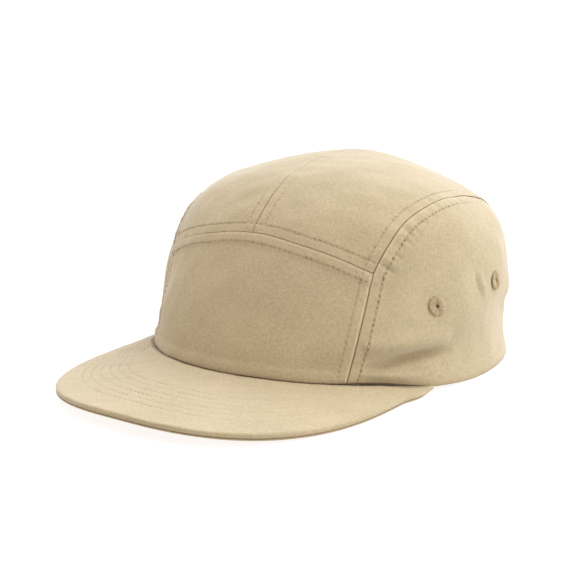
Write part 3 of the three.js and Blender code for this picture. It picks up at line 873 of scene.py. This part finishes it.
def add_panel(panel):
    lengths = {name: line_lengths(crown_points(line))[-1] for name, line in panel.lines.items()}
    a = graded_shares(max(lengths["bottom"], lengths["top"]))
    b = graded_shares(max(lengths["left"], lengths["right"]))
    plan = panel.places(a, b)
    base, normals, lift, cloth, sew = cloth_points(panel, plan)
    outer = base + normals * lift[:, None]
    inner = base + normals * (soft_lift(base) - CLOTH)[:, None]
    if panel.rims:
        turned, clear = rim_moves(plan, base, panel)
        outer -= normals * turned[:, None]
        outer[:, 2] += clear
        inner[:, 2] += np.minimum(clear, 0)
    inner[:, 2] = np.maximum(inner[:, 2], 0.05)
    outer[:, 2] = np.maximum(outer[:, 2], FLOOR_CLEARANCE)
    cells = base.reshape(len(a), len(b), 3)
    centres = (cells[:-1, :-1] + cells[1:, :-1] + cells[:-1, 1:] + cells[1:, 1:]) / 4
    hole = np.zeros(centres.shape[:2], bool)
    if panel.family == "side":
        for _, place in eyelet_places(panel.side):
            hole |= np.linalg.norm(centres - crown_points(place)[0], axis=2) < EYELET_CUT
    quads = shell_quads(len(a), len(b), hole)
    used = np.unique(quads)
    index = np.zeros(2 * len(base), int)
    index[used] = np.arange(len(used))
    grain = grain_of(base, len(a), len(b))
    no_sewing = np.tile([0.0, FAR, 0.0], (len(base), 1))
    attributes = {
        "grain": np.vstack([grain, grain])[used],
        "cloth": np.vstack([cloth, cloth * [1, 0, 0]])[used],
        "sew": np.vstack([sew, no_sewing])[used],
    }
    points = np.vstack([outer, inner])[used]
    add_piece(panel.name + "_cloth", points, index[quads], "twill", attributes, (panel.name,))


for panel in PANELS:
    add_panel(panel)

# Stitches: each thread arches between two needle holes
THREAD_SIDES = 6
THREAD_RINGS = [(-1.0, 0.35, -0.75), (-0.8, 0.85, -0.25), (-0.4, 1.0, 0.1), (0.0, 1.0, 0.2),
                (0.4, 1.0, 0.1), (0.8, 0.85, -0.25), (1.0, 0.35, -0.75)]  # along, radius, height
THREAD_END = np.array([[3, 2, 1, 0], [5, 4, 3, 0]])
STITCH_SUNK = 0.38  # how deep a row lies where it has sunk into the cloth


# Each run gives the threads' starts and ends, and the cloth's normals there.
def add_threads(name, runs):
    starts, ends, normals = (np.vstack(part) for part in zip(*runs))
    ways = ends - starts
    halves = np.linalg.norm(ways, axis=1) / 2
    ways = unit(ways)
    across = unit(np.cross(normals, ways))
    middles = (starts + ends) / 2
    rings, strands = [], []
    for along, width, height in THREAD_RINGS:
        centre = middles + ways * (along * halves)[:, None] + normals * (height * THREAD_RADIUS)
        for turn in 2 * math.pi * np.arange(THREAD_SIDES) / THREAD_SIDES:
            outward = across * math.cos(turn) + normals * math.sin(turn)
            rings.append(centre + outward * width * THREAD_RADIUS)
            strands.append(np.stack([along * halves, np.full(len(halves), turn / 12), 0 * halves], -1))
    points = np.stack(rings, 1).reshape(-1, 3)
    strands = np.stack(strands, 1).reshape(-1, 3)
    one = tube_quads(len(THREAD_RINGS), THREAD_SIDES, THREAD_END)
    firsts = len(THREAD_RINGS) * THREAD_SIDES * np.arange(len(starts))
    quads = (one[None] + firsts[:, None, None]).reshape(-1, 4)
    add_piece(name, points, quads, "thread", {"grain": strands})


def stitch_spans(length):
    first = np.arange(int(length / STITCH_PITCH)) * STITCH_PITCH
    return first + STITCH_GAP / 2, first + STITCH_PITCH - STITCH_GAP / 2


def crown_stitches(panel, edge):
    inward = np.cross(crown_normals(edge.plan), unit(np.gradient(edge.points, axis=0)))
    middle = len(edge.points) // 2
    if (inward[middle] * (panel.middle() - edge.points[middle])).sum() < 0:
        inward = -inward
    row = moved_along_crown(edge.plan, inward * OFFSET[edge.kind])

    def row_at(spots):
        return read_line(row, edge.along, spots)

    starts, ends = stitch_spans(edge.along[-1])
    middles = (starts + ends) / 2
    clear = np.ones(len(starts), bool)
    for other in panel.edges:
        if other is not edge:
            distance = other.nearest(crown_points(row_at(middles)))[0]
            clear &= distance > OFFSET[other.kind] - 0.4

    def lifted(spots):
        base, normals, lift, _, _ = cloth_points(panel, row_at(spots))
        sunk = STITCH_SUNK * (1 - row_left(panel, edge, spots))
        return base + normals * (lift + 0.1 - sunk)[:, None]

    return lifted(starts[clear]), lifted(ends[clear]), crown_normals(row_at(middles[clear]))


for panel in PANELS:
    add_threads(panel.name + "_stitches", [crown_stitches(panel, edge) for edge in panel.edges])

# Peak
PEAK_STATIONS = 331  # along its outline
PEAK_OUTS = 96  # from its root out to its edge
PEAK_ROUND = 0.75  # radius of its upper and lower edges
PEAK_FULLNESS = (0.4, 2.8)  # how far its outline stands out near its right and left ends
PEAK_ROWS = 6
PEAK_ROW_STEP = (3.1, 5.1)  # between rows at the side and in front
PEAK_FIRST_ROW = (7.2, 15.0)  # from the outline to the outermost row, at the side and in front
PEAK_ROW_BACK = -20.0  # how far back the rows run
PEAK_HOLES = 0.22  # how dark the painted shade in the needle holes is
PEAK_GROOVE = 0.08
PEAK_FADE = (5, 60)  # to the wearer's left, the rows sink into the cloth between these places


def peak_row(k):
    width = PEAK_HALF_WIDTH - PEAK_FIRST_ROW[0] - k * PEAK_ROW_STEP[0]
    depth = PEAK_DEPTH - PEAK_FIRST_ROW[1] - k * PEAK_ROW_STEP[1]
    turn = np.linspace(0, math.pi, 801)
    x = -width * np.sign(np.cos(turn)) * np.abs(np.cos(turn)) ** PEAK_POWER
    y = -PEAK_WIDEST - depth * np.sin(turn) ** PEAK_POWER
    ends = np.array([[-width, PEAK_ROW_BACK], [width, PEAK_ROW_BACK]])
    line = spaced(np.vstack([ends[:1], np.stack([x, y], -1), ends[1:]]), 900)
    angle = np.arctan2(line[:, 0], -line[:, 1])
    clear = np.hypot(line[:, 0], line[:, 1]) > blend_columns(COLUMN_REACH, angle) + 1.5
    return Line(line[clear])


peak_rows = [peak_row(k) for k in range(PEAK_ROWS)]


def row_strength(plan):
    return 1 - 0.75 * smooth_step(plan[:, 0], *PEAK_FADE)


def peak_sewing(plan):
    groove, beside, along = np.zeros(len(plan)), np.full(len(plan), FAR), np.zeros(len(plan))
    for row in peak_rows:
        distance, s, _ = row.nearest(plan)
        groove = np.maximum(groove, PEAK_GROOVE * bell(distance, 0.6) * row_strength(plan))
        nearer = distance < np.abs(beside)
        beside[nearer] = distance[nearer]
        along[nearer] = s[nearer]
    return groove, beside, along


# Where the peak meets the rim, how high that is, and how far that is above its bent board
def peak_seat(shares):
    angle = np.radians(PEAK_END_ANGLE * shares)
    root = rim_plan(angle, PEAK_SEAT)
    seat = blend_columns(RIM_HEIGHTS, angle) - GAP
    return root, seat, seat - FRONT_RISE - board_bend(root)


# The top's height: bent like the board, and close up under the rim
def peak_top(shares, plan, out):
    root, _, lift = peak_seat(shares)
    from_root = np.linalg.norm(plan - root, axis=1)
    close = (RIM_CLEAR + 0.1) * (1 - smooth_step(np.abs(shares) * PEAK_END_ANGLE, 48, 60))
    raised = lift + close * bell(from_root, 8)
    return FRONT_RISE + board_bend(plan) + raised * (1 - out) ** 2


def peak_thickness(shares):
    return PEAK_THICKNESS * (1 - 0.55 * smooth_step(np.abs(shares), CORNER_SHARE, 1))


# Rows of points, each all along the peak: out over the top, round the edge and back underneath
def peak_section(shares, root, seat, thick):
    outline = peak_outline(shares)
    outward = unit(np.stack([-np.gradient(outline[:, 1]), np.gradient(outline[:, 0])], -1))
    outward *= np.sign((outward * outline).sum(1))[:, None]
    fullness = np.where(shares < 0, *PEAK_FULLNESS) * bell(np.abs(shares) - 0.91, 0.082)
    outline += outward * fullness[:, None]
    radius = np.minimum(PEAK_ROUND, 0.4 * np.minimum(np.linalg.norm(outline - root, axis=1), thick))
    edge_top = FRONT_RISE + board_bend(outline)
    inset = outline - outward * radius[:, None]
    tuck = rim_plan(np.radians(PEAK_END_ANGLE * shares), -CLOTH - PEAK_TUCK)
    outs = np.linspace(0, 1, PEAK_OUTS)
    turns = np.radians([22.5, 45, 67.5, 90])
    top, under = [], []
    for out in outs:
        plan = root + (inset - root) * out
        height = peak_top(shares, plan, out)
        top.append((plan, height, "top"))
        under.append((plan, height - thick, "under"))
    for turn in turns:
        plan = inset + outward * (radius * np.sin(turn))[:, None]
        sunk = radius * (1 - np.cos(turn))
        top.append((plan, edge_top - sunk, "edge"))
        under.append((plan, edge_top - thick + sunk, "edge"))
    # A seam runs along the lower part of the edge.
    for share, dent in ((0.6, 0.0), (0.78, 0.1), (0.88, 0.32), (0.97, 0.1)):
        height = edge_top - radius - (thick - 2 * radius) * share
        top.append((outline - outward * dent, height, "seam" if dent else "edge"))
    return [(tuck, seat + 0.1, "plain"), *top, *under[::-1], (tuck, seat - thick, "plain")]


def add_peak():
    shares = np.linspace(-1, 1, PEAK_STATIONS)
    root, seat, _ = peak_seat(shares)
    section = peak_section(shares, root, seat, peak_thickness(shares))
    count = len(section)
    points = np.stack([np.column_stack([plan, height]) for plan, height, _ in section], 1)
    points = points.reshape(-1, 3)
    kinds = np.tile([kind for _, _, kind in section], len(shares))
    groove, beside, along = peak_sewing(points[:, :2])
    on_faces = (kinds == "top") | (kinds == "under")
    puffed = smooth_step(beside, 0, 2.2) * 0.03 * (beside < 50)
    quilt = np.where(on_faces, puffed - groove + 0.05 * waves(points, 8, 20, 51), 0)
    points[:, 2] += np.where(kinds == "under", -quilt, quilt)
    points[:, 2] = np.maximum(points[:, 2], FLOOR_CLEARANCE)
    from_root = np.linalg.norm(points[:, :2] - np.repeat(root, count, axis=0), axis=1)
    # Painted shade where the peak meets the crown, in the seam along its edge, and on the hidden tuck
    near_root = 0.7 * bell(from_root, 0.9)
    painted_shade = np.select([kinds == "seam", kinds == "top", kinds == "plain"], [0.9, near_root, 1.0], 0.0)
    nothing = np.zeros(len(points))
    attributes = {
        "grain": np.stack([points[:, 0], points[:, 1] + points[:, 2] * (kinds == "edge"), nothing], -1),
        "cloth": np.stack([painted_shade, nothing, np.where(on_faces, groove, 0)], -1),
        "sew": np.stack([along, np.where(on_faces, beside, FAR), PEAK_HOLES * row_strength(points)], -1),
    }
    quads = tube_quads(len(shares), count, end_quads(count))
    add_piece("peak_cloth", points, quads, "twill", attributes, ("peak",))


# How high the peak's top is at some places, and how thick the peak is there
def peak_height(plan):
    shares = np.arctan2(plan[:, 0], -plan[:, 1]) / math.radians(PEAK_END_ANGLE)
    for _ in range(12):
        root, _, _ = peak_seat(shares)
        way = peak_outline(shares) - root
        offset = plan - root
        side = (offset[:, 0] * way[:, 1] - offset[:, 1] * way[:, 0]) / (way**2).sum(1)
        shares = np.clip(shares - side * np.linalg.norm(way, axis=1) / 90, -1, 1)
    out = (offset * way).sum(1) / (way**2).sum(1)
    return peak_top(shares, plan, out), peak_thickness(shares)


def peak_stitches():
    runs = []
    for row in peak_rows:
        spans = stitch_spans(row.along[-1])
        for face in (1, -1):
            run = []
            for spots in spans:
                plan = read_line(row.points, row.along, spots)
                top, thickness = peak_height(plan)
                sunk = 0.14 + 0.16 * (1 - row_strength(plan))
                height = top - sunk if face > 0 else top - thickness + sunk
                run.append(np.column_stack([plan, height]))
            runs.append((*run, np.tile([0.0, 0.0, face], (len(spots), 1))))
    return runs


add_peak()
add_threads("peak_stitches", peak_stitches())

# Eyelets: thread wound round each vent hole
EYELET_THREADS = 26
EYELET_STEPS = EYELET_THREADS * 8
EYELET_OPEN = 1.5  # width of what the thread leaves open
EYELET_WIDTH = 9.2
EYELET_HEART = np.array([2.95, -0.6])  # the thread is wound round this, out from the hole and up


def eyelet_profile():
    outside, hole, shank = EYELET_WIDTH / 2, EYELET_OPEN / 2, EYELET_SHANK / 2
    back = CLOTH + GAP
    turn = np.radians(np.linspace(180, 0, 13))
    middle, half = (outside + hole) / 2, (outside - hole) / 2
    dome = np.stack([middle + half * np.cos(turn), -0.25 + 0.85 * np.sin(turn) ** 0.6], -1)
    under = [[shank + 0.6, -0.3], [shank, -0.6], [shank, 0.4 - back]]
    turn = np.radians(np.linspace(0, -180, 9))
    inside = 0.85 * outside
    middle, half = (inside + hole) / 2, (inside - hole) / 2
    rear = np.stack([middle + half * np.cos(turn), 0.2 - back + 0.75 * np.sin(turn)], -1)
    return np.vstack([dome, under, rear, [[hole, -back / 2]]])


def add_eyelet(name, place):
    centre = crown_points(place)
    normal = crown_normals(place)[0]
    centre = centre[0] + normal * soft_lift(centre)[0]
    along = unit(np.cross([0, 0, 1.0], normal))
    up = np.cross(normal, along)
    profile = eyelet_profile()
    turn = np.linspace(0, 2 * math.pi, EYELET_STEPS, endpoint=False)
    uneven = np.random.default_rng(61).uniform(-1, 1, EYELET_THREADS)
    thread = (turn / (2 * math.pi) * EYELET_THREADS).astype(int) % EYELET_THREADS
    round_thread = np.abs(np.sin(turn * EYELET_THREADS / 2)) ** 0.7
    bulge = 0.32 * (round_thread - 0.6) + 0.2 * uneven[thread] * round_thread
    rings = profile[None] + bulge[:, None, None] * unit(profile - EYELET_HEART)[None]
    r, h = rings[..., 0], rings[..., 1]
    points = (
        centre
        + (r * np.cos(turn)[:, None])[..., None] * along
        + (r * np.sin(turn)[:, None])[..., None] * up
        + h[..., None] * normal
    ).reshape(-1, 3)
    count = len(profile)
    lengths = np.cumsum(np.linalg.norm(np.diff(profile, axis=0, append=profile[:1]), axis=1))
    strands = np.stack([
        np.tile(lengths, EYELET_STEPS), np.repeat(turn * 3, count), np.repeat(thread * 5.3, count),
    ], -1)
    quads = tube_quads(EYELET_STEPS, count)
    add_piece(name + "_thread", points, quads, "thread", {"grain": strands}, (name,))


for side_name, side in SIDES:
    for name, place in eyelet_places(side):
        add_eyelet("eyelet_" + side_name + "_" + name, place)

# Strap and clasp
STRAP_ROUND = 0.7  # radius of its edges
STRAP_ROW = 2.4  # from its edge to each row of stitches
STRAP_START = 200  # a length along it, added so that all lengths are above nothing
strap_middle = CLASP_WALL + 2 * GAP + STRAP_WIDTH / 2
strap_depth = CLOTH + GAP + STRAP_THICKNESS / 2
strap_half = COLUMN_REACH[-1] * math.radians(opening_half_angle) + STRAP_LAP


# A point in the band behind the opening: how far round it, how high, and how deep in the wall
def band_points(along, height, depth):
    plan = plan_at(180 - np.degrees(along / COLUMN_REACH[-1]), row_at_height(height))
    return crown_points(plan) - crown_normals(plan) * np.reshape(depth, (-1, 1))


def rounded_box(width, thickness, radius, steps):
    loop = []
    for corner, (x, y) in enumerate(((1, -1), (1, 1), (-1, 1), (-1, -1))):
        for turn in np.radians(np.linspace(-90, 0, steps) + 90 * corner):
            loop.append([
                x * (width / 2 - radius) + radius * math.cos(turn),
                y * (thickness / 2 - radius) + radius * math.sin(turn),
            ])
    return np.array(loop)


def add_strap():
    across = np.linspace(-strap_half, strap_half, 181)
    flat = np.linspace(-STRAP_WIDTH / 2 + STRAP_ROUND, STRAP_WIDTH / 2 - STRAP_ROUND, 47)
    turn = np.radians(np.linspace(-90, 90, 10))
    near = np.stack([flat, np.full(len(flat), -STRAP_THICKNESS / 2)], -1)
    right = np.stack([flat[-1] + STRAP_ROUND * np.cos(turn), STRAP_THICKNESS / 2 * np.sin(turn)], -1)
    loop = np.vstack([near, right[1:-1], (near * [1, -1])[::-1], (right * [-1, 1])[::-1][1:-1]])
    count = len(loop)
    s = np.repeat(across, count)
    h, d = np.tile(loop, (len(across), 1)).T
    beside = np.abs(np.abs(h) - (STRAP_WIDTH / 2 - STRAP_ROW))
    groove = 0.2 * bell(beside, 0.6)
    face = np.sign(d) * (np.abs(d) > STRAP_THICKNESS / 2 - 0.01)
    d = d - face * groove + face * 0.04 * waves(np.stack([s, h], -1), 4, 9, 71)
    points = band_points(s, strap_middle + h, strap_depth + d)
    wear_and_highlight = 0.6 * bell(np.abs(h) - STRAP_WIDTH / 2, 0.5)
    nothing = np.zeros(len(s))
    # The needle holes and stitch furrows get painted shade, and the edges are lighter
    attributes = {
        "grain": np.stack([s, h, nothing], -1),
        "cloth": np.stack([nothing, wear_and_highlight, groove * np.abs(face)], -1),
        "sew": np.stack([s + STRAP_START, np.where(face != 0, beside, FAR), nothing + 0.7], -1),
    }
    quads = tube_quads(len(across), count, end_quads(count, len(flat) + 4))
    add_piece("size_strap_cloth", points, quads, "twill", attributes, ("size_strap",))


def strap_stitches():
    count = int(strap_half / STITCH_PITCH)
    firsts = np.arange(-count, count) * STITCH_PITCH + STRAP_START % STITCH_PITCH
    starts, ends = firsts + STITCH_GAP / 2, firsts + STITCH_PITCH - STITCH_GAP / 2
    runs = []
    for row in (-1, 1):
        height = strap_middle + row * (STRAP_WIDTH / 2 - STRAP_ROW)
        outward = unit(band_points(firsts, height, 0) - band_points(firsts, height, 1))
        for face in (-1, 1):
            depth = strap_depth + face * (STRAP_THICKNESS / 2 - 0.1)
            run = (band_points(spots, height, depth) for spots in (starts, ends))
            runs.append((*run, -face * outward))
    return runs


def add_clasp():
    room = GAP + CLASP_WALL / 2
    loop = rounded_box(STRAP_WIDTH + 2 * room, STRAP_THICKNESS + 2 * room, 1.0, 7)
    loop = spaced(np.vstack([loop, loop[:1]]), 120)[:-1]
    way = np.roll(loop, -1, axis=0) - np.roll(loop, 1, axis=0)
    outward = unit(np.stack([way[:, 1], -way[:, 0]], -1))
    ring = rounded_box(CLASP_LENGTH, CLASP_WALL, 0.55, 6)
    count = len(ring)
    s, wall = np.tile(ring, (len(loop), 1)).T
    h, d = (np.repeat(loop, count, axis=0) + np.repeat(outward, count, axis=0) * wall[:, None]).T
    points = band_points(s, strap_middle + h, strap_depth + d)
    wear_and_highlight = bell(np.abs(s) - CLASP_LENGTH / 2, 0.5)
    nothing = np.zeros(len(s))
    attributes = {
        "grain": np.stack([s, h, d], -1),
        "cloth": np.stack([nothing, wear_and_highlight, nothing], -1),
    }
    quads = tube_quads(len(loop), count)
    add_piece("strap_clasp_loop", points, quads, "clasp_metal", attributes, ("strap_clasp",))


add_strap()
add_threads("size_strap_stitches", strap_stitches())
add_clasp()

# Floor
FLOOR_HALF = 12.0
FLOOR_DARK = (0.14, 0.14, 0.14, 1)
FLOOR_LIGHT = (0.16, 0.16, 0.16, 1)
FLOOR_GLOW = (0.90, 0.87, 0.85, 1)  # lit from below, so that only a faint shadow shows


def add_floor():
    recipe = Recipe("pale_floor")
    place = recipe.add("ShaderNodeTexCoord").outputs["Object"]
    recipe.set(
        Base_Color=recipe.mixed(recipe.noise(place, 6, 2, 0.5), FLOOR_DARK, FLOOR_LIGHT),
        Roughness=0.75,
        Specular_IOR_Level=0.1,
        Emission_Color=FLOOR_GLOW,
        Emission_Strength=1.0,
    )
    mesh = bpy.data.meshes.new("floor")
    corners = [(-1, -1), (1, -1), (1, 1), (-1, 1)]
    mesh.from_pydata([(x * FLOOR_HALF, y * FLOOR_HALF, 0) for x, y in corners], [], [(0, 1, 2, 3)])
    mesh.materials.append(recipe.material)
    floor = bpy.data.objects.new("floor", mesh)
    bpy.context.scene.collection.objects.link(floor)


add_floor()

# Light: a white studio with four soft bright parts, of which the one on the wearer's left is brightest
# azimuth, elevation, strength in red, green and blue
STUDIO = [
    (0, 90, (1.20, 1.06, 1.03)),
    (122, 30, (2.46, 2.46, 2.36)),
    (-152, 32, (1.60, 1.95, 2.40)),
    (-54, 15, (0.55, 0.44, 0.26)),
]
HORIZON = (0.04, 0.10, 1.2)  # a white band up to these heights, and its strength


def direction(azimuth, elevation):
    flat = math.cos(elevation)
    return math.sin(azimuth) * flat, -math.cos(azimuth) * flat, math.sin(elevation)


def add_studio():
    world = bpy.data.worlds.new("studio")
    bpy.context.scene.world = world
    world.use_nodes = True
    tree = world.node_tree

    def vector_maths(operation, inputs):
        return add_node(tree, "ShaderNodeVectorMath", inputs, operation=operation).outputs

    way = add_node(tree, "ShaderNodeTexCoord").outputs["Generated"]
    height = add_node(tree, "ShaderNodeSeparateXYZ", {"Vector": way}).outputs["Z"]
    low, high, strength = HORIZON
    total = add_node(tree, "ShaderNodeMapRange", {
        "Value": height, "From Min": low, "From Max": high, "To Min": strength, "To Max": 0.0,
    }).outputs["Result"]
    for azimuth, elevation, colour in STUDIO:
        towards = direction(math.radians(azimuth), math.radians(elevation))
        facing = vector_maths("DOT_PRODUCT", {0: way, 1: towards})["Value"]
        front = add_node(tree, "ShaderNodeMath", {0: facing, 1: 0.0}, operation="MAXIMUM")
        square = add_node(tree, "ShaderNodeMath", {0: front.outputs[0], 1: 2.0}, operation="POWER")
        part = vector_maths("SCALE", {0: colour, "Scale": square.outputs[0]})[0]
        total = vector_maths("ADD", {0: total, 1: part})[0]
    background = tree.nodes["Background"]
    fill(tree, background.inputs["Color"], total)
    fill(tree, background.inputs["Strength"], 1.0)


add_studio()
bpy.context.scene.view_settings.view_transform = "Standard"

# Camera, fitted to the photograph's outline and seams
CAMERA_AZIMUTH = math.radians(35.8313)
CAMERA_ELEVATION = math.radians(13.1326)
CAMERA_ROLL = math.radians(-0.3425)
CAMERA_DISTANCE = 603.553
CAMERA_LOOKS_AT = np.array([0, 0, 50])  # from the crown's middle
CAMERA_AIM = (-21.186, -16.69)  # right and up from there
CAMERA_SCALE = 1.8939  # pixels for a millimetre at that distance
IMAGE_SIDE = 573
SENSOR = 36.0


def add_camera():
    back = np.array(direction(CAMERA_AZIMUTH, CAMERA_ELEVATION))
    level = np.array([math.cos(CAMERA_AZIMUTH), math.sin(CAMERA_AZIMUTH), 0])
    rise = np.cross(back, level)
    right = level * math.cos(CAMERA_ROLL) + rise * math.sin(CAMERA_ROLL)
    up = rise * math.cos(CAMERA_ROLL) - level * math.sin(CAMERA_ROLL)
    aim = CAMERA_LOOKS_AT + CAMERA_AIM[0] * right + CAMERA_AIM[1] * up + CAP_SHIFT
    place = (aim + back * CAMERA_DISTANCE) / 1000
    data = bpy.data.cameras.new("camera")
    data.sensor_width = SENSOR
    data.lens = CAMERA_SCALE * CAMERA_DISTANCE / IMAGE_SIDE * SENSOR
    camera = bpy.data.objects.new("camera", data)
    turn = Matrix([right, up, back]).transposed().to_4x4()
    camera.matrix_world = Matrix.Translation(Vector(place)) @ turn
    bpy.context.scene.collection.objects.link(camera)
    bpy.context.scene.camera = camera


add_camera()
